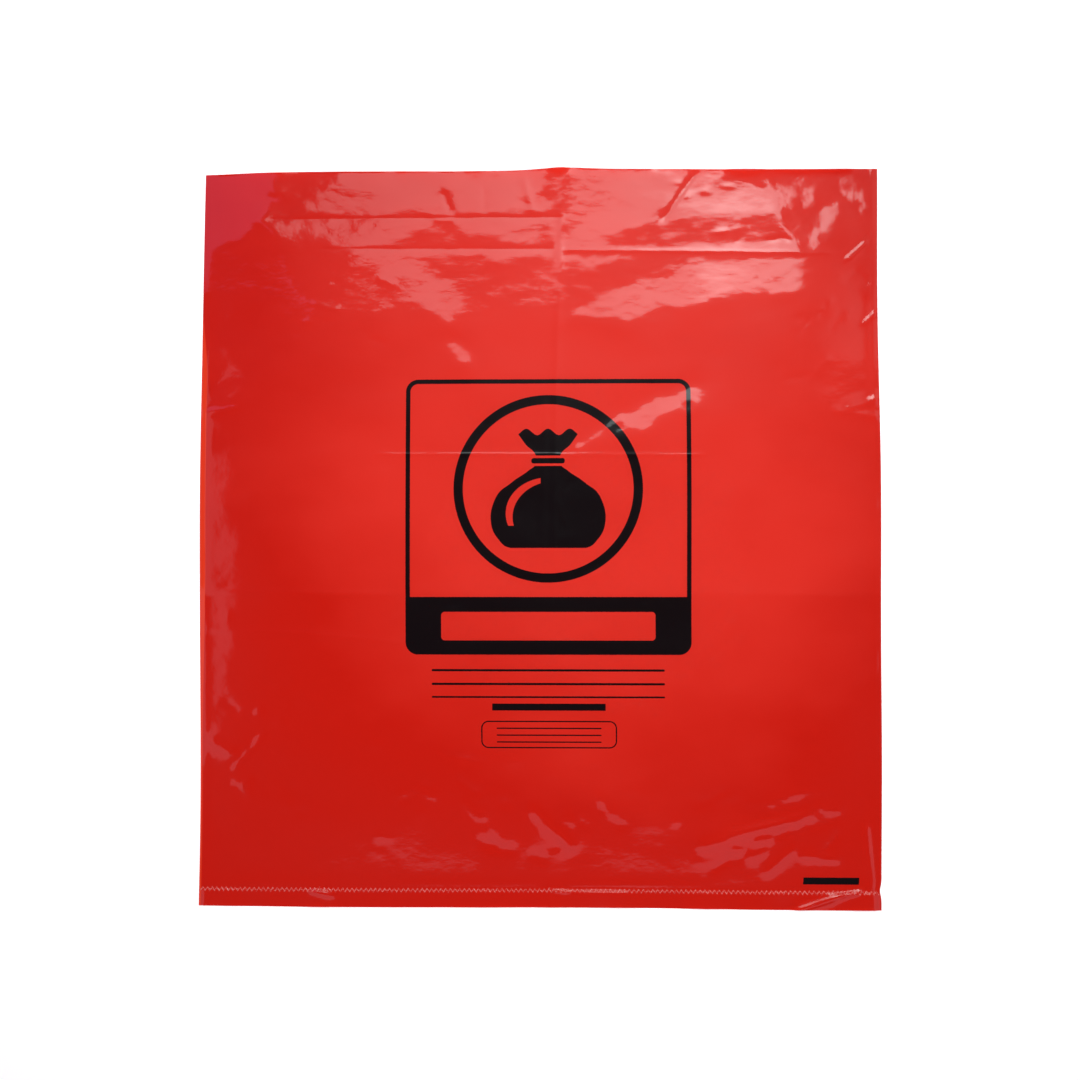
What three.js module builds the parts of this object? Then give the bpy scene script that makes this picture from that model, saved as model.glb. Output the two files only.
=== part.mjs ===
// A clinic waste bag of blown polyethylene film, lying flat on a table. It is one piece: a lay-flat
// tube of film, open at the mouth (+Y) and welded shut across its other end, with a short loose skirt
// past the weld. A little air is left inside, and the creases of its packing folds still stand up.
// Millimetres, +Z up. The origin is on the table, under the middle of the bag.
import * as THREE from 'three';

// The film and the cut bag
const WIDTH = 550; // across the flattened tube, from side fold to side fold
const LENGTH = 600; // from the mouth's edge to the skirt's edge
const FILM = 0.05; // 200 gauge film
const FOLD_GAP = 0.3; // left between the two inner faces at a side fold, and in the skirt

// The weld across the closed end
const SKIRT = 12; // loose film past the weld
const WELD_WIDTH = 4;
const WELD_LIP = 0.6; // the two films part over this length at each side of the weld

// The air inside lifts the upper film
const LOFT = 12; // gap in the middle of the bag
const MOUTH_LOFT = 9; // gap in the middle of the mouth
const WELD_RISE = 160; // from the weld to where the loft is full
const MOUTH_FALL = 120; // from the full loft to the mouth

// The creases of the packing folds, low tents in the upper film
const CREASE_RISE = 1.8;
const CREASE_REACH = 28; // from the crest of a crease to its foot
const LONG_CREASE_X = 16; // the crease that runs along the bag
const CROSS_CREASES = [62, 231, 347]; // distances of the creases across the bag from the mouth

// Fineness of the faceted film
const COLUMNS = 20;
const ROWS = 16;

const MOUTH_Y = LENGTH / 2;
const SKIRT_Y = -LENGTH / 2;
const WELD_FOOT_Y = SKIRT_Y + SKIRT;
const WELD_TOP_Y = WELD_FOOT_Y + WELD_WIDTH;
const FOLD_RADIUS = FOLD_GAP / 2 + FILM; // of the outer face at a side fold
const FLAT_HALF = WIDTH / 2 - FOLD_RADIUS; // where the flat film ends and a side fold begins

// The height of a low tent of slope-sided film, at a distance from its crest
function tent(distance) {
  return CREASE_RISE * Math.max(0, 1 - Math.abs(distance) / CREASE_REACH);
}

// The gap between the two films, at a place over the pouch
function pouchGap(x, y) {
  const fromWeld = THREE.MathUtils.clamp((y - WELD_TOP_Y) / WELD_RISE, 0, 1);
  const build = Math.sin((fromWeld * Math.PI) / 2);
  const toMouth = THREE.MathUtils.smoothstep(y, MOUTH_Y - MOUTH_FALL, MOUTH_Y);
  const crossing = CROSS_CREASES.map((fromMouth) => tent(y - (MOUTH_Y - fromMouth)));
  const creases = Math.max(tent(x - LONG_CREASE_X), ...crossing);
  const lift = THREE.MathUtils.lerp(LOFT, MOUTH_LOFT, toMouth) + creases;
  const across = 1 - (x / FLAT_HALF) ** 2;
  return FOLD_GAP + lift * build * Math.max(0, across);
}

// The skirt's two films lie on each other
const skirtGap = () => FOLD_GAP;
const weldedGap = () => 0;

// Evenly spaced stations from low to high, with the crests and feet of the creases put in their place
function stations(low, high, count, crests) {
  const step = (high - low) / count;
  const marks = crests
    .flatMap((crest) => [crest - CREASE_REACH, crest, crest + CREASE_REACH])
    .filter((mark) => mark > low + step / 4 && mark < high - step / 4);
  const even = Array.from({ length: count + 1 }, (_, i) => low + i * step);
  const kept = even.filter(
    (place, i) => i === 0 || i === count || marks.every((mark) => Math.abs(mark - place) > step / 4),
  );
  return [...new Set([...kept, ...marks])].sort((a, b) => a - b);
}

const COLUMN_X = stations(-FLAT_HALF, FLAT_HALF, COLUMNS, [LONG_CREASE_X]);
const POUCH_Y = stations(WELD_TOP_Y, MOUTH_Y, ROWS, CROSS_CREASES.map((fromMouth) => MOUTH_Y - fromMouth));

// One ring of the film: along the lower film, round the fold at +X, back along the upper film and
// round the fold at -X. An inner ring lies one film's thickness inside the outer one.
function ring(y, gap, inner) {
  const inset = inner ? FILM : 0;
  const upper = (x) => 2 * FILM + gap(x, y) - inset;
  const foldZ = FILM + gap(FLAT_HALF, y) / 2;
  const lowerFilm = COLUMN_X.map((x) => new THREE.Vector3(x, y, inset));
  const upperFilm = COLUMN_X.map((x) => new THREE.Vector3(x, y, upper(x))).reverse();
  const fold = (side) => new THREE.Vector3(side * (WIDTH / 2 - inset), y, foldZ);
  return [...lowerFilm, fold(1), ...upperFilm, fold(-1)];
}

// A closed surface through rings of the same number of points, its first and last rings capped. Each
// quad is split along the same diagonal in plan on the way up the outside and on the way down the
// inside, so that the two faces of the film stay a film's thickness apart where it is curved.
function loft(rings) {
  const size = rings[0].length;
  const columns = COLUMN_X.length;
  const triangles = [];
  for (let r = 0; r + 1 < rings.length; r++) {
    const goesUp = rings[r + 1][0].y > rings[r][0].y;
    for (let i = 0; i < size; i++) {
      const next = (i + 1) % size;
      const [a, b, c, d] = [r * size + i, r * size + next, (r + 1) * size + next, (r + 1) * size + i];
      triangles.push(...(goesUp ? [a, d, c, a, c, b] : [a, d, b, d, c, b]));
    }
  }
  const cap = (start, flip) => {
    const put = (a, b, c) => triangles.push(start + a, start + (flip ? c : b), start + (flip ? b : c));
    for (let i = 0; i + 1 < columns; i++) {
      const above = size - 2 - i;
      put(i, i + 1, above - 1);
      put(i, above - 1, above);
    }
    put(columns - 1, columns, columns + 1);
    put(size - 1, 0, size - 2);
  };
  cap(0, false);
  cap((rings.length - 1) * size, true);
  const geometry = new THREE.BufferGeometry().setFromPoints(rings.flat());
  geometry.setIndex(triangles);
  geometry.computeVertexNormals();
  return geometry;
}

// The surface runs from the weld's foot down inside the skirt, round the skirt's edge, up the whole
// outside to the mouth, over the mouth's edge and back down inside the pouch to the weld's top.
const skirtInside = [WELD_FOOT_Y, SKIRT_Y].map((y) => ring(y, skirtGap, true));
const skirtOutside = [SKIRT_Y, WELD_FOOT_Y].map((y) => ring(y, skirtGap, false));
const weldOutside = [WELD_FOOT_Y + WELD_LIP, WELD_TOP_Y - WELD_LIP].map((y) => ring(y, weldedGap, false));
const pouchOutside = POUCH_Y.map((y) => ring(y, pouchGap, false));
const pouchInside = [...POUCH_Y].reverse().map((y) => ring(y, pouchGap, true));

const redFilm = new THREE.MeshStandardMaterial({ color: 0xdc2a1e, roughness: 0.25, metalness: 0 });
const bagFilm = new THREE.Mesh(
  loft([...skirtInside, ...skirtOutside, ...weldOutside, ...pouchOutside, ...pouchInside]),
  redFilm,
);
bagFilm.name = 'bag_film';

const bag = new THREE.Group();
bag.add(bagFilm);

export default bag;
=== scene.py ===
import math

import bpy
import numpy as np
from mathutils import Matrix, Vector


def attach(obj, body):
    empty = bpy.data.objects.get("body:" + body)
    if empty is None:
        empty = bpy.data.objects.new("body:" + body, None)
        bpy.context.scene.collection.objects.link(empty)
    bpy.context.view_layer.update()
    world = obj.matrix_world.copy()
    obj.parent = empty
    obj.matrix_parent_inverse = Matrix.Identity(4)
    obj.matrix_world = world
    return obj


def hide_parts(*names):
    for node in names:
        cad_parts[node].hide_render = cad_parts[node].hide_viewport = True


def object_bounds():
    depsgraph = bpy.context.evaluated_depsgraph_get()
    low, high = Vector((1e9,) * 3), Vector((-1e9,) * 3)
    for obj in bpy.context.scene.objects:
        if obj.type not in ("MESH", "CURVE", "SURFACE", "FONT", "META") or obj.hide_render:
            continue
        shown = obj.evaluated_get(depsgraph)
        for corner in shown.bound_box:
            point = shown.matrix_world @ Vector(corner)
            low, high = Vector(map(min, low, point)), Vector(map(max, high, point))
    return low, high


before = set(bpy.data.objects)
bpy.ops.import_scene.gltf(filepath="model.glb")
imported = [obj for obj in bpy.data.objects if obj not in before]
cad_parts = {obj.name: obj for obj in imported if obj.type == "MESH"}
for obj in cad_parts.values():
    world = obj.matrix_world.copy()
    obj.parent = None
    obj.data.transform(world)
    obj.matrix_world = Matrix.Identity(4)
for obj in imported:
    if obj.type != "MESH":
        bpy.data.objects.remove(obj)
cad_low, cad_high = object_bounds()

MM = 0.001

# The bag, in millimetres: x across from the middle, y along it from the middle to the mouth
HALF_WIDTH = cad_high[0] / MM
HALF_LENGTH = cad_high[1] / MM
FILM = 0.05
FOLD_RADIUS = 0.2
FLAT_HALF = HALF_WIDTH - FOLD_RADIUS
SKIRT = 12.0
WELD_WIDTH = 4.0
WELD_FOOT_Y = -HALF_LENGTH + SKIRT
WELD_TOP_Y = WELD_FOOT_Y + WELD_WIDTH

# The air between the films
FLAT_GAP = 0.3
LOFT = 10.0
MOUTH_LOFT = 8.0
MOUTH_FALL = 220.0
WELD_RISE = 160.0
SIDE_POWER = 4

# The film's mesh is one tube, open at the mouth and at the skirt. Its rows and columns are closer
# together at the marks: a place, how far round it and how much closer
UPPER_COLUMNS = 280
LOWER_COLUMNS = 16
ROWS = 320
FOLD_STEPS = 3
ROW_MARKS = [
    (240, 80, 0.8), (66, 4, 2), (234, 4, 1.5), (260, 4, 1.5), (HALF_LENGTH, 4, 2),
    (WELD_TOP_Y, 4, 2), (WELD_FOOT_Y, 4, 2), (-HALF_LENGTH, 4, 2),
]
COLUMN_MARKS = [(-HALF_WIDTH, 8, 1.5), (18, 8, 1.5), (HALF_WIDTH, 8, 1.5)]

# Colours and gloss of the film and the ink
RED = (0.80, 0.032, 0.019, 1)
# The deeper red is also the painted-shade end of the film's red, towards its edges and past the third
# cross crease
RED_SHADED_AND_DEEP = (0.64, 0.0098, 0.0026, 1)
# The strip's lighter orange is painted light, as if passing through the single layer
RED_STRIP_PAINTED_GLOW = (0.86, 0.048, 0.014, 1)
# The paler red of the knurled line is partly stress-whitened film and partly painted glints
RED_WHITENED_AND_GLINT = (0.88, 0.22, 0.19, 1)
THROUGH = (0.86, 0.020, 0.006, 1)
INK = (0.0042, 0.0008, 0.0018, 1)
HAZE_ROUGHNESS = 0.32
COAT_ROUGHNESS = 0.045
COAT_WEIGHT = 1.0
THROUGH_SHARE = 0.30
FILM_IOR = 1.5
FILM_SPECULAR = 0.22

# Painted light and shade in the red: a painted lighter oval about the print, random clouds in it, and
# painted shade past the third cross crease
PAINTED_LIGHT_AT = (50.0, 70.0)
PAINTED_LIGHT_RADII = (315.0, 350.0)
CLOUDINESS = 0.22
THIRD_CREASE_Y = -47.0
PAINTED_SHADE_PAST_CREASE = -0.16

# The single layer past the left fold: its width, where it starts from nothing and is full at the
# mouth's end, and the same at the weld's end, where a share of it is left
# That strip is painted a lighter orange, for light passing through the single layer
STRIP_WIDTH = 4.6
STRIP_TOP = (193.0, 130.0)
STRIP_FOOT = (-180.0, -20.0)
STRIP_LEAST = 0.35

# Heights of the bumps, in millimetres, and the share of them that counts
CRINKLE_BUMP = 0.10
GRAIN_BUMP = 0.006
ZIGZAG_BUMP = 0.5
BUMP_STRENGTH = 0.35

# The knurled line of the weld
ZIGZAG_PITCH = 3.8
ZIGZAG_REACH = 1.3
ZIGZAG_LINE = 0.7

# The print: a framed panel with a plain pictogram of a tied sack, blank lines and boxes. Boxes are
# given by the middle's x and y, the width, the height and the corner's radius
PANEL = (8.3, 15.5, 229.5, 223.0, 10.0)
PANEL_LINE = 3.6
BAND_TOP = -49.5
WINDOW = (8.3, -73.0, 172.0, 23.0, 3.0)
RING_X, RING_Y = 8.3, 38.0
RING_RADIUS = 76.0
RING_LINE = 7.5
RULES = [(8.0, -108.5, 187.0, 1.8, 0.9), (8.0, -119.5, 187.0, 1.8, 0.9), (8.0, -130.0, 187.0, 1.4, 0.7)]
SHORT_BAR = (8.5, -138.0, 91.0, 5.6, 0.4)
NOTE = (8.5, -160.0, 109.0, 22.0, 6.0)
NOTE_LINE = 1.0
NOTE_RULES = [(8.5, -155.0, 84.0, 1.0, 0.4), (8.5, -160.5, 84.0, 1.0, 0.4), (8.5, -166.0, 84.0, 1.0, 0.4)]
CORNER_BAR = (235.0, -276.5, 44.5, 5.6, 0.3)

# The pictogram's sack: its half width, as a share of its reach, at shares of its height
SACK_BOTTOM = -10.0
SACK_HEIGHT = 98.0
SACK_REACH = 46.0
SACK_PROFILE = [
    (0.0, 0.66), (0.05, 0.83), (0.22, 1.0), (0.40, 0.93), (0.54, 0.64), (0.64, 0.34), (0.70, 0.21),
    (0.74, 0.20), (0.86, 0.40), (1.0, 0.60),
]
TIE_Y = SACK_BOTTOM + 0.72 * SACK_HEIGHT
TIE = (RING_X, TIE_Y, 27, 4.4, 2.0)
TIE_GAP = (RING_X, TIE_Y, 34, 8.4, 1.0)
RUFFLE_RATE = 0.36
RUFFLE_RISE = 2.6
SHINE_RADII = (34, 29)

# The camera looks down on the bag, a little from its right and from its welded end
CAMERA_AT = np.array([0.0643, -0.0835, 1.6])
CAMERA_TURN = np.radians([2.879, 2.256, 0.074])
CAMERA_LENS = 65.83
CAMERA_SENSOR = 36.0

# The lamps that the glossy film mirrors, all at one height: lowest and highest x, then y. The
# softbox and the panels hang past the mouth, and the walls past the other three edges
SOFTBOX = (-0.44, 0.52, 0.555, 1.25)
HOT_SPOT = (0.06, 0.50, 0.56, 0.86)
SIDE_PANEL = (-1.60, -0.54, 0.50, 1.40)
RIGHT_PANEL = (0.56, 1.50, 0.36, 1.40)
LEFT_WALL = (-2.10, -0.90, -0.90, 0.40)
RIGHT_WALL = (0.92, 2.10, -0.90, 0.30)
LOW_WALL = (-1.40, 1.40, -1.70, -0.72)
LAMP_Z = 1.5
HOT_SPOT_LOWER = 0.005

# Radiances and colours of the lamps, and the shares that a radiance runs through
SOFTBOX_GLOW = 6.2
SOFTBOX_COLOR = (0.85, 1.0, 1.0)
SOFTBOX_SHARES = [0.40, 0.45, 0.60, 0.85, 1.0]
HOT_SPOT_GLOW = 9.0
HOT_SPOT_SHARES = [1.0, 0.55, 0.0]
PANEL_GLOW = 1.0
SIDE_PANEL_COLOR = (0.80, 0.52, 1.0)
RIGHT_PANEL_SHARES = [0.0, 0.7, 1.0, 1.0, 1.0]
WALL_GLOW = 0.8
WALL_COLOR = (1.0, 0.84, 0.95)
SURROUND_GLOW = 0.05

# A round lamp over the bag, that the film doesn't mirror
POOL_AT = (0.05, 0.05, 1.1)
POOL_SIZE = (0.5, 0.5)
POOL_GLOW = 16.0

# The floor, just under the bag
FLOOR_REACH = 4.0
FLOOR_Z = -0.0002
FLOOR_COLOR = (0.97, 0.97, 0.97, 1)
FLOOR_GLOW = 0.20
FLOOR_ROUGHNESS = 0.9
FLOOR_SPECULAR = 0.1

# Raster on which the dents of the film are worked out
RASTER_STEP = 1.25


def smooth(value, low, high):
    t = np.clip((value - low) / (high - low), 0, 1)
    return t * t * (3 - 2 * t)


# The broad shape of the upper film


def pillow(x, y):
    """Height of the upper film over the lower one where only the air shapes it."""
    rise = np.sin(np.clip((y - WELD_TOP_Y) / WELD_RISE, 0, 1) * math.pi / 2)
    to_mouth = smooth(y, HALF_LENGTH - MOUTH_FALL, HALF_LENGTH)
    loft = LOFT + (MOUTH_LOFT - LOFT) * to_mouth
    across = np.clip(1 - np.abs(x / FLAT_HALF) ** SIDE_POWER, 0, 1)
    return FLAT_GAP + loft * rise * across


# Where the film mirrors the softbox, as outlines in millimetres
LIT = [
    [(-162, 302), (-173, 283), (-190, 272), (-180, 261), (6, 261), (8, 302)],
    [
        (-227, 259), (-208, 250), (-185, 248), (-158, 234), (-121, 234), (-112, 241), (-80, 256),
        (-78, 259),
    ],
    [(-74, 259), (-67, 249), (-36, 241), (2, 236), (5, 259)],
    [
        (-158, 234), (-121, 213), (-99, 204), (-122, 203), (-92, 189), (-79, 178), (-70, 175),
        (-60, 186), (-73, 208), (-97, 224), (-82, 234),
    ],
    [(-67, 234), (-46, 228), (-17, 222), (-7, 225), (13, 225), (13, 234)],
    [(13, 262), (22, 262), (22, 236), (13, 236)],
    [(24, 302), (129, 302), (100, 260), (77, 250), (56, 243), (31, 236), (23, 236)],
    [(130, 302), (209, 302), (206, 267), (196, 261), (163, 256), (150, 260), (113, 259), (104, 266)],
    [(14, 232), (85, 231), (51, 221), (18, 218)],
    [(112, 232), (123, 237), (177, 237), (192, 241), (211, 241), (211, 235), (205, 230), (150, 230)],
    [
        (28, 180), (67, 200), (100, 210), (125, 223), (209, 225), (211, 215), (220, 207), (207, 201),
        (146, 197), (135, 190), (108, 185), (79, 181), (70, 173), (54, 177),
    ],
    [(212, 285), (226, 285), (223, 267), (213, 265)],
    [(232, 271), (248, 271), (224, 232), (218, 236), (226, 251)],
    [(245, 284), (266, 284), (265, 266), (257, 268)],
    [(30, 71), (64, 94), (115, 117), (135, 118), (131, 109), (96, 92), (56, 78)],
    [(-72, 156), (-60, 153), (-52, 137), (-62, 141)],
]
# Inside those, where it mirrors the dark round the softbox
UNLIT = [
    [(-119, 259), (-116, 266), (-83, 266), (-77, 259)],
    [(-80, 282), (-76, 282), (-69, 264), (-73, 263)],
    [(15, 302), (21, 302), (18, 263), (14, 263)],
    [(152, 302), (268, 302), (264, 284), (209, 288), (153, 289)],
]
# Where it mirrors the panels at the left and at the right
SIDE_LIT = [[(-290, 310), (-212, 310), (-222, 262), (-236, 251), (-290, 232)]]
RIGHT_LIT = [[(266, 296), (290, 296), (290, 196), (271, 196), (264, 249)]]

LAMP_MARGIN = 0.014
RAGGED = 2.0
LEAN_ROUNDS = 60
LEAN_FROM_SIDE = 4.0
SLACK_REACH = 6.0

# Uneven height of the upper film: how much, its lumps' length across and along, and its seed. It
# calms down towards the side folds and the weld
SWELLS = [(0.16, 60, 34, 21), (0.045, 26, 13, 22)]
FINE_CRINKLE = (0.010, 10, 6, 23)
CALM_REACH = 14
SKIRT_WAVE = 0.5

# Creases: name, from, to, height of the crest (a valley is negative) and half width, in millimetres
CREASES = [
    ("long crease, mouth", (20, 301), (18, 233), 0.3, 3.0),
    ("long crease, middle", (18, 233), (14, 69), 0.50, 3.4),
    ("long crease, frame", (14, 69), (13, -20), 0.40, 2.6),
    ("beside the long crease", (6, 110), (4, -30), 0.26, 2.2),
    ("upper left valley", (-222, 260), (17, 260), -0.14, 1.2),
    ("lower left valley", (-179, 235), (12, 234), -0.12, 1.2),
    ("right ridge", (20, 233), (238, 230), 0.18, 1.2),
    ("frame ridge, left", (-128, 66.5), (12, 65.6), 0.36, 1.2),
    ("frame ridge, right", (12, 65.6), (132, 65), 0.40, 1.2),
    ("left fold line", (-271, 196), (-270.6, -40), -0.4, 1.0),
    ("left edge, low", (-273, -75), (-190, -79), 0.50, 1.7),
    ("left edge, lower", (-190, -79), (-108, -87), 0.50, 1.9),
    ("left edge, high", (-274, 101), (-244, 105), 0.40, 1.5),
    ("third cross crease, left", (-268, -44), (-120, -48), 0.52, 1.6),
    ("third cross crease, right", (126, -45), (266, -50), 0.34, 2.2),
    ("right edge, tail top", (248, 103), (276, 112), 0.85, 1.8),
    ("right edge, tail bottom", (238, 101), (275, 96), 0.60, 1.8),
    ("right edge, upper tick", (250, 224), (267, 240), 0.45, 1.3),
    ("right edge, lower tick", (262, 171), (276, 184), 0.40, 1.3),
    ("slanting valley at the mouth", (128, 298), (101, 257), -0.38, 1.5),
    ("slanting ridge at the mouth", (-12, 292), (-4, 262), 0.24, 1.6),
    ("left of the mouth", (-79, 284), (-71, 263), -0.30, 1.5),
    ("tick at the mouth", (-44, 284), (-44, 263), -0.16, 1.2),
    ("skirt corner", (206, -301), (238, -290), 1.9, 2.4),
    ("skirt corner, end", (238, -290), (262, -284), 1.4, 2.0),
    ("skirt pucker", (-184, -287), (-166, -291), 1.1, 1.8),
    ("skirt pucker, right", (6, -285), (26, -287), 0.8, 1.8),
    ("foot of the right edge", (262, -232), (268, -286), 1.0, 2.4),
    ("lower right sweep", (130, -250), (220, -222), 1.1, 4.4),
    ("lower right sweep, low", (150, -238), (210, -229), 0.7, 3.4),
    ("lower right dash", (211, -256), (242, -259), 0.8, 2.8),
    ("lower right fan", (182, -271), (206, -250), 0.9, 2.6),
    ("under the print", (-6, -219), (28, -252), 1.0, 3.6),
    ("lower left tick", (-247, -189), (-222, -160), 0.5, 1.9),
    ("left edge, patch", (-268, -166), (-246, -177), 0.9, 3.2),
]
CREASE_FADE = 9.0
CREASE_SKEW = 0.12
WRINKLE_FADE = 7.0
WRINKLE_SKEW = 0.8

# Clusters of short wrinkles: middle, spread, how many, mean lean in degrees, longest, highest and
# half width
CLUSTERS = [
    ((-60, 275), (60, 16), 9, -14, 20, 0.13, 1.5),
    ((-150, 196), (40, 22), 6, -10, 22, 0.22, 1.7),
    ((172, 246), (32, 7), 6, 14, 13, 0.30, 1.4),
    ((150, 280), (44, 14), 7, -20, 16, 0.14, 1.5),
    ((235, 180), (26, 60), 8, 60, 22, 0.26, 1.8),
    ((-176, 60), (60, 120), 9, 10, 16, 0.22, 1.8),
    ((10, -35), (44, 8), 12, 2, 20, 0.42, 1.6),
    ((10, 30), (26, 50), 8, 82, 26, 0.30, 1.8),
    ((180, -235), (60, 30), 16, 14, 28, 0.70, 2.6),
    ((0, -235), (60, 26), 12, -24, 26, 0.60, 2.8),
    ((-226, -190), (26, 60), 8, 30, 16, 0.44, 2.0),
    ((-60, -190), (50, 40), 8, 4, 28, 0.60, 2.4),
    ((190, -60), (60, 90), 12, 20, 14, 0.40, 1.8),
    ((0, -40), (250, 230), 60, 0, 20, 0.24, 2.2),
    ((-10, -150), (245, 110), 44, 4, 15, 0.50, 1.7),
]


def in_outline(x, y, outline):
    """Which places lie inside a closed outline."""
    inside = np.zeros(x.shape, bool)
    for (ax, ay), (bx, by) in zip(outline, outline[1:] + outline[:1]):
        if ay == by:
            continue
        crosses = (ay > y) != (by > y)
        inside ^= crosses & (x < ax + (y - ay) * (bx - ax) / (by - ay))
    return inside


def noise(shape, scale_x, scale_y, seed):
    """Smooth seeded noise with a root mean square of 1, its lumps that many millimetres long."""
    white = np.random.default_rng(seed).standard_normal(shape)
    fy = np.fft.fftfreq(shape[0], RASTER_STEP)[:, None]
    fx = np.fft.fftfreq(shape[1], RASTER_STEP)[None, :]
    keep = np.exp(-((fx * scale_x) ** 2 + (fy * scale_y) ** 2) * 2)
    found = np.fft.ifft2(np.fft.fft2(white) * keep).real
    return found / found.std()


def lumps(shape, height, scale_x, scale_y, seed):
    return height * noise(shape, scale_x, scale_y, seed)


def slopes_of(heights):
    slope_y, slope_x = np.gradient(heights, RASTER_STEP)
    return slope_x, slope_y


def surface_from_slopes(slope_x, slope_y):
    """The heights whose slopes come nearest to the given ones, by least squares."""
    even_x = np.block([[slope_x, -slope_x[:, ::-1]], [slope_x[::-1], -slope_x[::-1, ::-1]]])
    even_y = np.block([[slope_y, slope_y[:, ::-1]], [-slope_y[::-1], -slope_y[::-1, ::-1]]])
    wave_y = 2j * math.pi * np.fft.fftfreq(even_x.shape[0], RASTER_STEP)[:, None]
    wave_x = 2j * math.pi * np.fft.rfftfreq(even_x.shape[1], RASTER_STEP)[None, :]
    power = np.abs(wave_x) ** 2 + np.abs(wave_y) ** 2
    power[0, 0] = 1
    spectrum = (np.conj(wave_x) * np.fft.rfft2(even_x) + np.conj(wave_y) * np.fft.rfft2(even_y)) / power
    spectrum[0, 0] = 0
    rows, columns = slope_x.shape
    return np.fft.irfft2(spectrum, even_x.shape)[:rows, :columns]


class Mirror:
    """Where the film at each place of the raster mirrors the camera, at the lamps' height."""

    def __init__(self, x, y):
        at = np.stack([x * MM, y * MM, np.full(x.shape, LOFT * MM)], -1)
        to_camera = CAMERA_AT - at
        self.drop = LAMP_Z - at[..., 2]
        self.flat_x = at[..., 0] - to_camera[..., 0] * self.drop / to_camera[..., 2]
        self.flat_y = at[..., 1] - to_camera[..., 1] * self.drop / to_camera[..., 2]

    def hit(self, slope_x, slope_y):
        return self.flat_x - 2 * self.drop * slope_x, self.flat_y - 2 * self.drop * slope_y

    def slopes(self, hit_x, hit_y):
        return (self.flat_x - hit_x) / (2 * self.drop), (self.flat_y - hit_y) / (2 * self.drop)


def moved_in(hit_x, hit_y, lamp):
    """The hits moved to the nearest place inside the lamp."""
    low_x, high_x, low_y, high_y = lamp
    inside_x = np.clip(hit_x, low_x + LAMP_MARGIN, high_x - LAMP_MARGIN)
    return inside_x, np.clip(hit_y, low_y + LAMP_MARGIN, high_y - LAMP_MARGIN)


def moved_out(hit_x, hit_y, lamp):
    """The hits moved out over the lamp's nearest edge."""
    low_x, high_x, low_y, high_y = lamp
    depth = np.stack([hit_x - low_x, high_x - hit_x, hit_y - low_y, high_y - hit_y]) + LAMP_MARGIN
    shut_in = (depth > 0).all(0)
    nearest = depth.argmin(0)
    over_side = np.where(nearest == 0, low_x - LAMP_MARGIN, high_x + LAMP_MARGIN)
    over_end = np.where(nearest == 2, low_y - LAMP_MARGIN, high_y + LAMP_MARGIN)
    out_x = np.where(shut_in & (nearest < 2), over_side, hit_x)
    return out_x, np.where(shut_in & (nearest >= 2), over_end, hit_y)


def leaning(x, y, heights, slack):
    """The film dented as little as it takes to mirror the lamps inside the outlines only.

    Where slack is 1 it can move freely, and where it is 0 it keeps its height.
    """
    ragged_x = x + RAGGED * noise(x.shape, 9, 6, seed=3)
    ragged_y = y + RAGGED * noise(x.shape, 12, 6, seed=4)
    lit = np.any([in_outline(ragged_x, ragged_y, outline) for outline in LIT], 0)
    lit &= ~np.any([in_outline(ragged_x, ragged_y, outline) for outline in UNLIT], 0)
    side_lit = np.any([in_outline(ragged_x, ragged_y, outline) for outline in SIDE_LIT], 0)
    right_lit = np.any([in_outline(ragged_x, ragged_y, outline) for outline in RIGHT_LIT], 0)
    free = (FLAT_HALF - np.abs(x) < LEAN_FROM_SIDE) | (y < WELD_TOP_Y)
    mirror = Mirror(x, y)
    start = heights
    for _ in range(LEAN_ROUNDS):
        hit_x, hit_y = mirror.hit(*slopes_of(heights))
        lit_x, lit_y = moved_in(hit_x, hit_y, SOFTBOX)
        side_x, side_y = moved_in(hit_x, hit_y, SIDE_PANEL)
        right_x, right_y = moved_in(hit_x, hit_y, RIGHT_PANEL)
        dark_x, dark_y = hit_x, hit_y
        for lamp in (SOFTBOX, SIDE_PANEL, LEFT_WALL, RIGHT_WALL, LOW_WALL):
            dark_x, dark_y = moved_out(dark_x, dark_y, lamp)
        kinds = [free, lit, side_lit, right_lit]
        want_x = np.select(kinds, [hit_x, lit_x, side_x, right_x], dark_x)
        want_y = np.select(kinds, [hit_y, lit_y, side_y, right_y], dark_y)
        dented = surface_from_slopes(*mirror.slopes(want_x, want_y))
        dented += (start - dented)[free].mean()
        heights = start + (dented - start) * slack
    return heights


def ridge(x, y, start, end, height, half_width, fade, skew):
    """A crease from start to end, pinched to a rounded crest, that fades out at its ends."""
    run = np.subtract(end, start)
    length = np.hypot(*run)
    along = ((x - start[0]) * run[0] + (y - start[1]) * run[1]) / length
    off = ((y - start[1]) * run[0] - (x - start[0]) * run[1]) / length
    off = off - skew * (np.sin(along / 7 + height * 40) + 0.5 * np.sin(along / 3))
    ends = smooth(along, -fade / 2, fade / 2) * smooth(length - along, -fade / 2, fade / 2)
    crest = np.exp(-((off / half_width) ** 2)) + 0.35 * np.exp(-((off / (3 * half_width)) ** 2))
    return height / 1.35 * crest * ends


def crease_relief(x, y):
    total = np.zeros(x.shape)
    for _, start, end, height, half_width in CREASES:
        total += ridge(x, y, start, end, height, half_width, CREASE_FADE, CREASE_SKEW)
    return total


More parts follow.
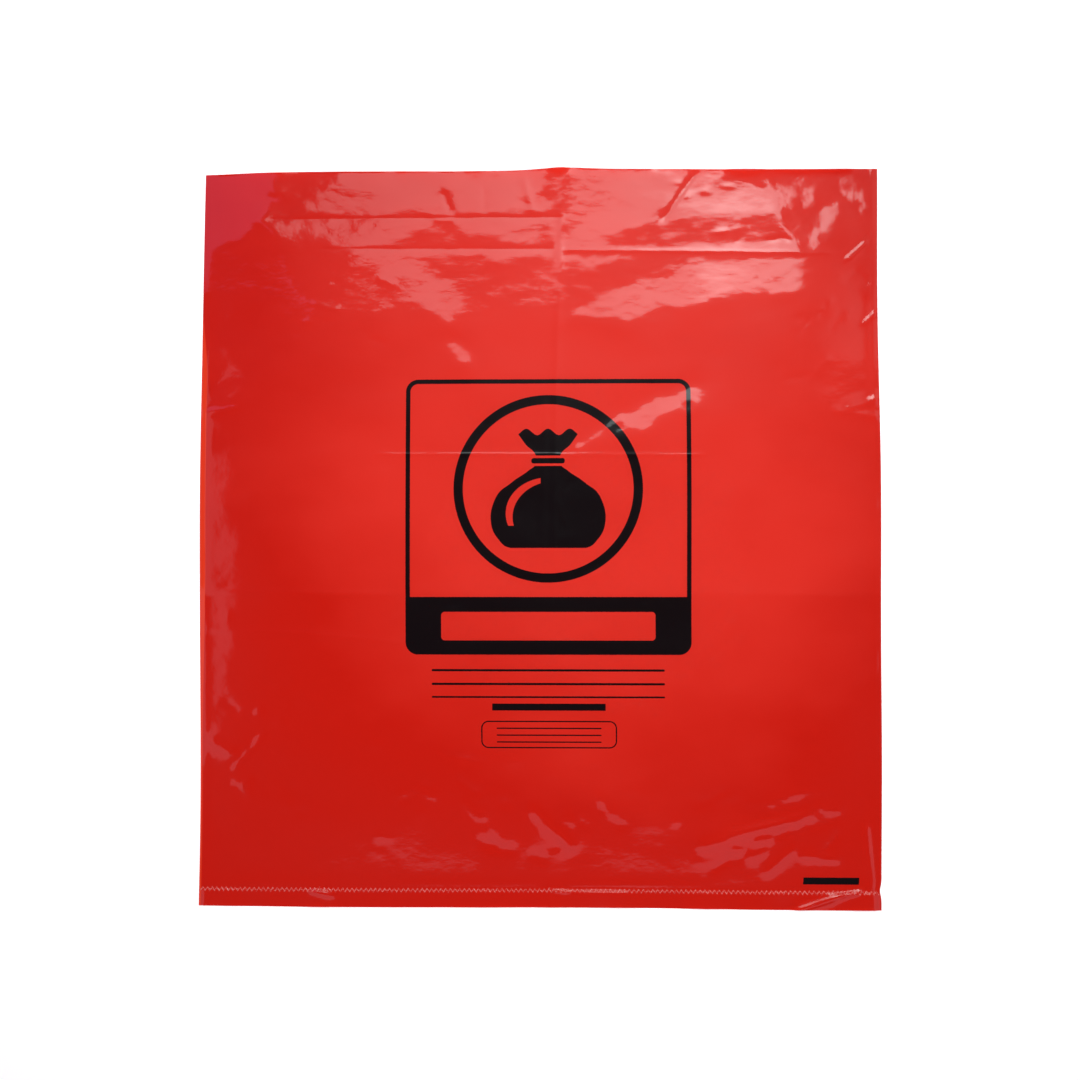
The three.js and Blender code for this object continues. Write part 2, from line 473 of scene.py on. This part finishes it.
def wrinkle_relief(x, y):
    """Short seeded wrinkles in clusters."""
    rng = np.random.default_rng(11)
    total = np.zeros(x.shape)
    for middle, spread, count, lean, longest, highest, width in CLUSTERS:
        for _ in range(count):
            at = np.array(middle) + np.array(spread) * rng.uniform(-1, 1, 2)
            turn = math.radians(lean + rng.normal(0, 18))
            reach = 0.5 * longest * rng.uniform(0.35, 1) * np.array([math.cos(turn), math.sin(turn)])
            height = highest * rng.uniform(0.35, 1) * rng.choice([-1, 1])
            half_width = width * rng.uniform(0.8, 1.4)
            near = (np.abs(x - at[0]) < longest + 12) & (np.abs(y - at[1]) < longest + 12)
            spot = np.ix_(near.any(1), near.any(0))
            total[spot] += ridge(
                x[spot], y[spot], at - reach, at + reach, height, half_width, WRINKLE_FADE, WRINKLE_SKEW
            )
    return total


def upper_heights(x, y):
    """Height of the upper film on the raster, in millimetres."""
    from_side = FLAT_HALF - np.abs(x)
    slack = smooth(from_side, 0, SLACK_REACH) * smooth(y, WELD_TOP_Y, WELD_TOP_Y + SLACK_REACH)
    calm = smooth(from_side, 0, CALM_REACH) * smooth(y, WELD_TOP_Y - 1, WELD_TOP_Y + CALM_REACH)
    swell = sum(lumps(x.shape, *values) for values in SWELLS)
    dented = leaning(x, y, pillow(x, y) + swell * calm, slack)
    crinkle = lumps(x.shape, *FINE_CRINKLE) + wrinkle_relief(x, y)
    over_skirt = smooth(y, WELD_TOP_Y, WELD_FOOT_Y)
    waves = SKIRT_WAVE * (1 + noise(x.shape, 30, 40, seed=31))
    skirt_waves = waves * over_skirt * smooth(from_side, 0, 6)
    heights = dented + crinkle * calm + crease_relief(x, y) + skirt_waves
    least = FILM + 0.05
    soft = 0.25
    return least + soft * np.logaddexp(0, (heights - least) / soft)


def raster():
    """Places of the raster over the flat bag, as x and y grids."""
    xs = np.arange(-HALF_WIDTH, HALF_WIDTH + RASTER_STEP / 2, RASTER_STEP)
    ys = np.arange(-HALF_LENGTH, HALF_LENGTH + RASTER_STEP / 2, RASTER_STEP)
    return xs, ys


def sampled(field, xs, ys, x, y):
    """The raster's field at other places, bilinear."""
    cx = np.clip((x - xs[0]) / RASTER_STEP, 0, len(xs) - 1.001)
    cy = np.clip((y - ys[0]) / RASTER_STEP, 0, len(ys) - 1.001)
    ix, iy = cx.astype(int), cy.astype(int)
    fx, fy = cx - ix, cy - iy
    low = field[iy, ix] * (1 - fx) + field[iy, ix + 1] * fx
    high = field[iy + 1, ix] * (1 - fx) + field[iy + 1, ix + 1] * fx
    return low * (1 - fy) + high * fy


def graded(low, high, count, marks):
    """count + 1 places from low to high, closer together round the marks."""
    fine = np.linspace(low, high, 12001)
    density = 1 + sum(gain * np.exp(-(((fine - place) / reach) ** 2)) for place, reach, gain in marks)
    run = np.concatenate([[0], np.cumsum((density[1:] + density[:-1]) / 2)])
    return np.interp(np.linspace(0, run[-1], count + 1), run, fine)


def left_edge(y):
    """The left side fold bows out a little over its middle."""
    return -HALF_WIDTH - 3.0 * np.exp(-(((y - 60) / 110) ** 2)) + 0.6 * np.sin(y / 47)


def right_edge(y):
    notch = -1.2 * np.exp(-(((y - WELD_TOP_Y) / 5) ** 2))
    return HALF_WIDTH + 1.6 * np.exp(-(((y + 10) / 150) ** 2)) + 0.4 * np.sin(y / 39) + notch


def end_shift(x, y):
    """How far the mouth's and the skirt's edges wander along the bag."""
    mouth = 1.6 * np.exp(-(((x - 19) / 26) ** 2)) - 1.2 + 0.5 * np.sin(x / 37)
    skirt = 0.8 + 0.5 * np.sin(x / 61 + 1)
    near_mouth = smooth(y, HALF_LENGTH - 30, HALF_LENGTH)
    return mouth * near_mouth + skirt * smooth(-y, HALF_LENGTH - 30, HALF_LENGTH)


def spread(x, y):
    """Where a place of the even tube lies between the wandering edges."""
    left, right = left_edge(y) + FOLD_RADIUS, right_edge(y) - FOLD_RADIUS
    return left + (x + FLAT_HALF) / (2 * FLAT_HALF) * (right - left)


def film_section(y, columns, heights):
    """One ring of the tube from the left along the top and back underneath, and its flat places."""
    turns = np.linspace(math.pi / 2, -math.pi / 2, FOLD_STEPS + 2)[1:-1]
    under = np.linspace(FLAT_HALF, -FLAT_HALF, LOWER_COLUMNS + 1)
    fold_x, fold_z = FOLD_RADIUS * np.cos(turns), FOLD_RADIUS * (1 + np.sin(turns))
    flat_x = np.concatenate([
        columns, np.full(FOLD_STEPS, FLAT_HALF), under, np.full(FOLD_STEPS, -FLAT_HALF),
    ])
    height = np.concatenate([heights, fold_z, np.zeros(len(under)), fold_z[::-1]])
    bulge = np.concatenate([np.zeros(len(columns)), fold_x, np.zeros(len(under)), -fold_x[::-1]])
    top = np.concatenate([
        np.ones(len(columns)), np.full(FOLD_STEPS, 0.5), np.zeros(len(under)), np.full(FOLD_STEPS, 0.5),
    ])
    place = np.stack([spread(flat_x, y) + bulge, y + end_shift(flat_x, y), height], -1)
    return place * MM, np.stack([flat_x, np.full(flat_x.shape, y), top], -1)


def tube_faces(rings, size):
    """Four-sided faces between rings of size points each."""
    faces = []
    for start in range(0, (rings - 1) * size, size):
        for i in range(size):
            n = (i + 1) % size
            faces.append((start + i, start + n, start + size + n, start + size + i))
    return faces


def film_mesh():
    xs, ys = raster()
    heights = upper_heights(*np.meshgrid(xs, ys))
    columns = graded(-FLAT_HALF, FLAT_HALF, UPPER_COLUMNS, COLUMN_MARKS)
    rows = graded(-HALF_LENGTH, HALF_LENGTH, ROWS, ROW_MARKS)
    sections = []
    for y in rows:
        line = sampled(heights, xs, ys, columns, np.full(columns.shape, y))
        sections.append(film_section(y, columns, line))
    verts = np.concatenate([place for place, _ in sections])
    flats = np.concatenate([flat for _, flat in sections])
    mesh = bpy.data.meshes.new("film_bag")
    mesh.from_pydata(verts.tolist(), [], tube_faces(len(rows), len(sections[0][0])))
    mesh.polygons.foreach_set("use_smooth", [True] * len(mesh.polygons))
    attribute = mesh.attributes.new("film_place", "FLOAT_VECTOR", "POINT")
    attribute.data.foreach_set("vector", flats.astype(np.float32).ravel())
    mesh.update()
    return mesh


# Material nodes


class Nodes:
    """Short calls that add nodes to one material."""

    def __init__(self, material):
        self.tree = material.node_tree
        self.tree.nodes.clear()

    def add(self, kind, **settings):
        node = self.tree.nodes.new(kind)
        for name, value in settings.items():
            setattr(node, name, value)
        return node

    def put(self, value, socket):
        if isinstance(value, bpy.types.NodeSocket):
            self.tree.links.new(value, socket)
        else:
            socket.default_value = value

    def math(self, operation, *values, clamp=False):
        node = self.add("ShaderNodeMath", operation=operation, use_clamp=clamp)
        for value, socket in zip(values, node.inputs):
            self.put(value, socket)
        return node.outputs[0]

    def length(self, x, y):
        """The length of a flat vector."""
        squares = self.math("MULTIPLY", x, x), self.math("MULTIPLY", y, y)
        return self.math("SQRT", self.math("ADD", *squares))

    def ramp(self, value, low, high, to_low=0.0, to_high=1.0):
        node = self.add("ShaderNodeMapRange", interpolation_type="SMOOTHSTEP")
        for put, socket in zip((value, low, high, to_low, to_high), node.inputs):
            self.put(put, socket)
        return node.outputs[0]

    def mix(self, share, a, b):
        node = self.add("ShaderNodeMix", data_type="RGBA")
        self.put(share, node.inputs[0])
        self.put(a, node.inputs[6])
        self.put(b, node.inputs[7])
        return node.outputs[2]

    def profile(self, value, points):
        """A smooth curve through points whose both coordinates run from 0 to 1."""
        node = self.add("ShaderNodeFloatCurve")
        curve = node.mapping.curves[0]
        for at in points[2:]:
            curve.points.new(*at)
        for point, at in zip(curve.points, sorted(points)):
            point.location = at
        node.mapping.update()
        self.put(value, node.inputs["Value"])
        return node.outputs[0]

    def noise(self, place, scale, detail=2.0, rough=0.5):
        node = self.add("ShaderNodeTexNoise", noise_dimensions="3D")
        self.put(place, node.inputs["Vector"])
        self.put(scale, node.inputs["Scale"])
        self.put(detail, node.inputs["Detail"])
        self.put(rough, node.inputs["Roughness"])
        return node.outputs["Fac"]

    def scaled(self, place, x, y, z):
        node = self.add("ShaderNodeVectorMath", operation="MULTIPLY")
        self.put(place, node.inputs[0])
        node.inputs[1].default_value = (x, y, z)
        return node.outputs[0]


class Print:
    """Flat shapes of ink, as distances in millimetres, below 0 inside."""

    def __init__(self, nodes, x, y):
        self.n, self.x, self.y = nodes, x, y

    def box(self, x, y, width, height, corner):
        """A rounded box round its middle."""
        n = self.n
        qx = n.math("SUBTRACT", n.math("ABSOLUTE", n.math("SUBTRACT", self.x, x)), width / 2 - corner)
        qy = n.math("SUBTRACT", n.math("ABSOLUTE", n.math("SUBTRACT", self.y, y)), height / 2 - corner)
        out = n.length(n.math("MAXIMUM", qx, 0.0), n.math("MAXIMUM", qy, 0.0))
        inner = n.math("MINIMUM", n.math("MAXIMUM", qx, qy), 0.0)
        return n.math("SUBTRACT", n.math("ADD", out, inner), corner)

    def oval(self, x, y, radius_x, radius_y):
        n = self.n
        dx = n.math("DIVIDE", n.math("SUBTRACT", self.x, x), radius_x)
        dy = n.math("DIVIDE", n.math("SUBTRACT", self.y, y), radius_y)
        return n.math("MULTIPLY", n.math("SUBTRACT", n.length(dx, dy), 1.0), min(radius_x, radius_y))

    def slab(self, nx, ny, reach):
        """Everything up to a straight edge that lies reach out along a direction."""
        n = self.n
        length = math.hypot(nx, ny)
        along_x = n.math("MULTIPLY", self.x, nx / length)
        along_y = n.math("MULTIPLY", self.y, ny / length)
        return n.math("SUBTRACT", n.math("ADD", along_x, along_y), reach)

    def outline(self, shape, width):
        """A line of that width just inside the shape's edge."""
        n = self.n
        return n.math("MAXIMUM", shape, n.math("SUBTRACT", n.math("MULTIPLY", shape, -1.0), width))

    def both(self, *shapes):
        found = shapes[0]
        for shape in shapes[1:]:
            found = self.n.math("MINIMUM", found, shape)
        return found

    def common(self, *shapes):
        found = shapes[0]
        for shape in shapes[1:]:
            found = self.n.math("MAXIMUM", found, shape)
        return found

    def without(self, shape, hole):
        return self.n.math("MAXIMUM", shape, self.n.math("MULTIPLY", hole, -1.0))


def sack(p):
    """A full sack, gathered and tied under its ruffled mouth."""
    n = p.n
    off = n.math("ABSOLUTE", n.math("SUBTRACT", p.x, RING_X))
    up = n.math("DIVIDE", n.math("SUBTRACT", p.y, SACK_BOTTOM), SACK_HEIGHT)
    half_width = n.math("MULTIPLY", n.profile(up, SACK_PROFILE), SACK_REACH)
    ruffle = n.math("MULTIPLY", n.math("COSINE", n.math("MULTIPLY", off, RUFFLE_RATE)), RUFFLE_RISE)
    rim = n.math("SUBTRACT", n.math("SUBTRACT", p.y, SACK_BOTTOM + SACK_HEIGHT - 4), ruffle)
    body = p.common(n.math("SUBTRACT", off, half_width), p.slab(0, -1, -SACK_BOTTOM), rim)
    tie = p.box(*TIE)
    gap = p.without(p.box(*TIE_GAP), tie)
    shine = p.without(p.oval(RING_X, 18, *SHINE_RADII), p.oval(RING_X + 5.5, 15, *SHINE_RADII))
    shine = p.common(shine, p.slab(0, -1, -8), p.slab(1, 0, RING_X - 6))
    return p.without(p.without(p.both(body, tie), gap), shine)


def ink_shapes(p):
    """All that is printed, as one distance."""
    panel = p.box(*PANEL)
    band = p.without(p.common(panel, p.slab(0, 1, BAND_TOP)), p.box(*WINDOW))
    ring = p.outline(p.oval(RING_X, RING_Y, RING_RADIUS, RING_RADIUS), RING_LINE)
    note = p.outline(p.box(*NOTE), NOTE_LINE)
    bars = [p.box(*place) for place in [*RULES, SHORT_BAR, *NOTE_RULES, CORNER_BAR]]
    return p.both(p.outline(panel, PANEL_LINE), band, ring, sack(p), note, *bars)


def edge_strip(n, x, y):
    """The single layer that bulges out past the left fold, 1 on it and 0 off it."""
    width = n.math("MULTIPLY", n.ramp(y, *STRIP_TOP), n.ramp(y, *STRIP_FOOT, STRIP_LEAST, 1.0))
    inner = n.math("ADD", n.math("MULTIPLY", width, STRIP_WIDTH), -HALF_WIDTH)
    return n.math("MULTIPLY", n.ramp(n.math("SUBTRACT", x, inner), 0.4, -0.2), n.ramp(width, 0.0, 0.2))


def film_tint_and_painted_light(n, place, x, y):
    """Share of the lighter red: random clouds, painted light in an oval about the print, and painted shade
    past the third crease.
    """
    squares = [
        n.math("POWER", n.math("DIVIDE", n.math("SUBTRACT", along, at), radius), 2.0)
        for along, at, radius in zip((x, y), PAINTED_LIGHT_AT, PAINTED_LIGHT_RADII)
    ]
    # Painted light: the red is lighter in an oval about the print
    broad = n.ramp(n.math("ADD", *squares), 1.0, 0.05)
    clouds = n.noise(n.scaled(place, 0.007, 0.011, 0), 1.0, 3.0)
    cloudy = n.ramp(clouds, 0.25, 0.75, -CLOUDINESS, CLOUDINESS)
    # Painted shade: the red is darker past the third cross crease
    past = n.ramp(y, THIRD_CREASE_Y + 3, THIRD_CREASE_Y - 3, 0.0, PAINTED_SHADE_PAST_CREASE)
    return n.math("ADD", n.math("ADD", broad, cloudy), past, clamp=True)


def film_ink(n, place, x, y, side):
    """1 where the upper film is printed and 0 elsewhere, its edges a little uneven."""
    wobble = n.math("MULTIPLY", n.math("SUBTRACT", n.noise(place, 0.9, 1.0), 0.5), 0.35)
    printed = ink_shapes(Print(n, n.math("ADD", x, wobble), n.math("ADD", y, wobble)))
    return n.math("MULTIPLY", n.ramp(printed, 0.12, -0.12), n.math("GREATER_THAN", side, 0.9))


def film_color(n, place, x, y, zigzag):
    film = n.mix(film_tint_and_painted_light(n, place, x, y), RED_SHADED_AND_DEEP, RED)
    # Painted light: the single layer past the left fold is a lighter orange
    film = n.mix(edge_strip(n, x, y), film, RED_STRIP_PAINTED_GLOW)
    # The knurled line is paler in broken dots: partly stress-whitened film, partly painted glints
    broken = n.ramp(n.noise(n.scaled(place, 0.9, 0.9, 0), 1.0, 2.0), 0.38, 0.62)
    return n.mix(n.math("MULTIPLY", zigzag, broken), film, RED_WHITENED_AND_GLINT)


def film_bump(n, place, zigzag):
    """The normal of fine crinkle, the film's grain and the knurled line."""
    crinkle = n.noise(n.scaled(place, 0.16, 0.26, 0), 1.0, 3.0, 0.55)
    grain = n.noise(n.scaled(place, 1.3, 0.35, 0), 1.0, 2.0)
    fine = n.math("MULTIPLY", crinkle, CRINKLE_BUMP), n.math("MULTIPLY", grain, GRAIN_BUMP)
    height = n.math("ADD", n.math("ADD", *fine), n.math("MULTIPLY", zigzag, ZIGZAG_BUMP))
    bump = n.add("ShaderNodeBump")
    n.put(BUMP_STRENGTH, bump.inputs["Strength"])
    n.put(MM, bump.inputs["Distance"])
    n.put(height, bump.inputs["Height"])
    return bump.outputs[0]


def film_material():
    material = bpy.data.materials.new("red_film")
    material.use_nodes = True
    n = Nodes(material)
    place = n.add("ShaderNodeAttribute", attribute_name="film_place").outputs["Vector"]
    split = n.add("ShaderNodeSeparateXYZ")
    n.put(place, split.inputs[0])
    x, y, side = split.outputs
    zigzag = zigzag_line(n, x, y)
    ink = film_ink(n, place, x, y, side)
    normal = film_bump(n, place, zigzag)

    shiny = n.add("ShaderNodeBsdfPrincipled")
    n.put(n.mix(ink, film_color(n, place, x, y, zigzag), INK), shiny.inputs["Base Color"])
    n.put(HAZE_ROUGHNESS, shiny.inputs["Roughness"])
    n.put(FILM_IOR, shiny.inputs["IOR"])
    n.put(FILM_SPECULAR, shiny.inputs["Specular IOR Level"])
    n.put(COAT_WEIGHT, shiny.inputs["Coat Weight"])
    n.put(COAT_ROUGHNESS, shiny.inputs["Coat Roughness"])
    n.put(normal, shiny.inputs["Normal"])
    n.put(normal, shiny.inputs["Coat Normal"])
    through = n.add("ShaderNodeBsdfTranslucent")
    n.put(n.mix(ink, THROUGH, INK), through.inputs["Color"])
    blend = n.add("ShaderNodeMixShader")
    n.put(THROUGH_SHARE, blend.inputs[0])
    n.put(shiny.outputs[0], blend.inputs[1])
    n.put(through.outputs[0], blend.inputs[2])
    n.put(blend.outputs[0], n.add("ShaderNodeOutputMaterial").inputs[0])
    return material


def zigzag_line(n, x, y):
    """The knurled line of the weld, 1 on the line and 0 off it."""
    turn = n.math("PINGPONG", x, ZIGZAG_PITCH / 2)
    middle = (WELD_FOOT_Y + WELD_TOP_Y) / 2 - ZIGZAG_REACH
    line = n.math("ADD", n.math("MULTIPLY", turn, 4 * ZIGZAG_REACH / ZIGZAG_PITCH), middle)
    off = n.math("ABSOLUTE", n.math("SUBTRACT", y, line))
    return n.ramp(off, ZIGZAG_LINE * 1.6, 0.1)


def floor_material():
    material = bpy.data.materials.new("pale_floor")
    material.use_nodes = True
    shader = material.node_tree.nodes["Principled BSDF"]
    shader.inputs["Base Color"].default_value = FLOOR_COLOR
    shader.inputs["Emission Color"].default_value = (1, 1, 1, 1)
    shader.inputs["Emission Strength"].default_value = FLOOR_GLOW
    shader.inputs["Roughness"].default_value = FLOOR_ROUGHNESS
    shader.inputs["Specular IOR Level"].default_value = FLOOR_SPECULAR
    return material


# The studio


def area_light(name, at, size, radiance, color=(1, 1, 1), mirrored=True, shape="RECTANGLE"):
    """A lamp of that radiance, facing down."""
    lamp = bpy.data.lights.new(name, "AREA")
    lamp.shape = shape
    lamp.size, lamp.size_y = size
    area = size[0] * size[1] * (math.pi / 4 if shape == "ELLIPSE" else 1)
    lamp.energy = radiance * math.pi * area
    lamp.color = color
    lamp_object = bpy.data.objects.new(name, lamp)
    lamp_object.location = at
    lamp_object.visible_glossy = mirrored
    lamp_object.visible_camera = False
    bpy.context.scene.collection.objects.link(lamp_object)
    return lamp_object


def graduated(lamp, shares, round_its_middle=False):
    """Lets a lamp's radiance run through shares of it, along its x or out from its middle."""
    lamp.use_nodes = True
    nodes, link = lamp.node_tree.nodes, lamp.node_tree.links.new
    where = nodes.new("ShaderNodeNewGeometry").outputs["Parametric"]
    if round_its_middle:
        off = nodes.new("ShaderNodeVectorMath")
        off.operation = "DISTANCE"
        off.inputs[1].default_value = (0.5, 0.5, 0)
        link(where, off.inputs[0])
        double = nodes.new("ShaderNodeMath")
        double.operation = "MULTIPLY"
        double.inputs[1].default_value = 2
        link(off.outputs["Value"], double.inputs[0])
        share = double.outputs[0]
    else:
        split = nodes.new("ShaderNodeSeparateXYZ")
        link(where, split.inputs[0])
        share = split.outputs[0]
    ramp = nodes.new("ShaderNodeValToRGB")
    ramp.color_ramp.interpolation = "EASE"
    for i in range(1, len(shares) - 1):
        ramp.color_ramp.elements.new(i / (len(shares) - 1))
    for element, level in zip(ramp.color_ramp.elements, shares):
        element.color = (level, level, level, 1)
    link(share, ramp.inputs[0])
    link(ramp.outputs[0], nodes["Emission"].inputs["Strength"])


def box_light(name, lamp, radiance, color=(1, 1, 1), shape="RECTANGLE", lower=0):
    """A lamp that fills one of the named places at the lamps' height."""
    low_x, high_x, low_y, high_y = lamp
    middle = ((low_x + high_x) / 2, (low_y + high_y) / 2, LAMP_Z - lower)
    return area_light(name, middle, (high_x - low_x, high_y - low_y), radiance, color, shape=shape)


def lamps():
    softbox = box_light("softbox", SOFTBOX, SOFTBOX_GLOW, SOFTBOX_COLOR)
    graduated(softbox.data, SOFTBOX_SHARES)
    hot_spot = box_light(
        "hot spot", HOT_SPOT, HOT_SPOT_GLOW, SOFTBOX_COLOR, shape="ELLIPSE", lower=HOT_SPOT_LOWER
    )
    graduated(hot_spot.data, HOT_SPOT_SHARES, round_its_middle=True)
    box_light("side panel", SIDE_PANEL, PANEL_GLOW, SIDE_PANEL_COLOR)
    right = box_light("right panel", RIGHT_PANEL, PANEL_GLOW)
    graduated(right.data, RIGHT_PANEL_SHARES)
    for name, place in (("left wall", LEFT_WALL), ("right wall", RIGHT_WALL), ("low wall", LOW_WALL)):
        box_light(name, place, WALL_GLOW, WALL_COLOR)
    area_light("pool", POOL_AT, POOL_SIZE, POOL_GLOW, mirrored=False, shape="ELLIPSE")


def surround():
    world = bpy.data.worlds.new("studio")
    world.use_nodes = True
    background = world.node_tree.nodes["Background"]
    background.inputs["Color"].default_value = (1, 1, 1, 1)
    background.inputs["Strength"].default_value = SURROUND_GLOW
    bpy.context.scene.world = world


def floor():
    mesh = bpy.data.meshes.new("floor")
    corners = [(-1, -1), (1, -1), (1, 1), (-1, 1)]
    mesh.from_pydata([(x * FLOOR_REACH, y * FLOOR_REACH, FLOOR_Z) for x, y in corners], [], [(0, 1, 2, 3)])
    mesh.materials.append(floor_material())
    piece = bpy.data.objects.new("floor", mesh)
    bpy.context.scene.collection.objects.link(piece)


def camera():
    data = bpy.data.cameras.new("camera")
    data.lens = CAMERA_LENS
    data.sensor_width = CAMERA_SENSOR
    data.sensor_fit = "HORIZONTAL"
    made = bpy.data.objects.new("camera", data)
    made.location = CAMERA_AT
    made.rotation_euler = CAMERA_TURN
    bpy.context.scene.collection.objects.link(made)
    bpy.context.scene.camera = made


def bag():
    piece = bpy.data.objects.new("film_bag", film_mesh())
    piece.data.materials.append(film_material())
    bpy.context.scene.collection.objects.link(piece)
    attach(piece, "root")
    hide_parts("bag_film")


bag()
lamps()
surround()
floor()
camera()
bpy.context.scene.view_settings.view_transform = "Standard"
